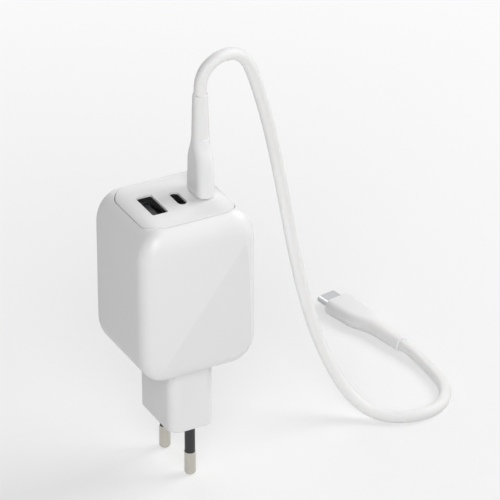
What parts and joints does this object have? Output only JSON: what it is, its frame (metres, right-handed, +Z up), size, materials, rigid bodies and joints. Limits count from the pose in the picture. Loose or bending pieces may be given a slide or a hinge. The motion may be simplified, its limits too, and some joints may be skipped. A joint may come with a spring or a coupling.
{
  "type": "wall charger",
  "caption": "Compact wall charger: soft-cornered box with a creased front face, charging ports in its top panel, a round-pin plug below and a detachable cable in the end port.",
  "frame": {"origin": "centre of the plug head's lower face, midway between the two pins, where it meets an outlet", "axes": "+Z up, out of the outlet and towards the ports; +X along the row of ports, from the large port to the end port; -Y towards the creased front face"},
  "size_m": [0.1282, 0.0883, 0.153],
  "materials": {
    "housing": "satin white",
    "panel": "satin white",
    "pin": "nickel plated, polished",
    "sleeve": "satin",
    "strip": "plain",
    "board": "solder mask",
    "port_metal": "nickel plated sheet",
    "port_plastic": "moulded",
    "contact": "gold plated",
    "ferrite": "ground",
    "bobbin": "moulded",
    "tape": "polyester tape",
    "capacitor_sleeve": "shrink sleeve",
    "winding": "enamelled wire",
    "film_box": "moulded box",
    "fuse_tube": "shrink sleeve",
    "chip": "moulded",
    "disc": "epoxy coated",
    "pad": "soft pad",
    "spreader": "rolled sheet",
    "can": "drawn can",
    "sheet": "insulating card",
    "jacket": "soft matte white",
    "grip": "satin white",
    "plug_metal": "satin sheet"
  },
  "bodies": {
    "root": {"housing_shell": "housing", "port_panel": "panel", "plug_head": "housing", "pin_live": "pin", "pin_neutral": "pin", "sleeve_live": "sleeve", "sleeve_neutral": "sleeve", "contact_strip_live": "strip", "contact_strip_neutral": "strip", "main_board": "board", "filter_board": "board", "port_board": "board", "large_port_shell": "port_metal", "large_port_tongue": "port_plastic", "large_port_contacts": "contact", "middle_port_shell": "port_metal", "middle_port_tongue": "port_plastic", "end_port_shell": "port_metal", "end_port_tongue": "port_plastic", "transformer_core": "ferrite", "transformer_bobbin": "bobbin", "transformer_winding": "tape", "mains_capacitor_front": "capacitor_sleeve", "mains_capacitor_rear": "capacitor_sleeve", "choke_ring": "ferrite", "choke_windings": "winding", "filter_capacitor": "film_box", "fuse": "fuse_tube", "bridge_rectifier": "chip", "safety_capacitor": "disc", "power_transistor": "chip", "thermal_pad": "pad", "heat_spreader": "spreader", "output_capacitor_left": "can", "output_capacitor_right": "can", "output_inductor_left": "ferrite", "output_inductor_right": "ferrite", "port_controller": "chip", "insulation_sheet": "sheet", "cable": "jacket", "near_plug_grip": "grip", "near_plug_relief": "jacket", "near_plug_shell": "plug_metal", "near_plug_insert": "port_plastic", "far_plug_grip": "grip", "far_plug_relief": "jacket", "far_plug_shell": "plug_metal", "far_plug_insert": "port_plastic"}
  },
  "joints": []
}
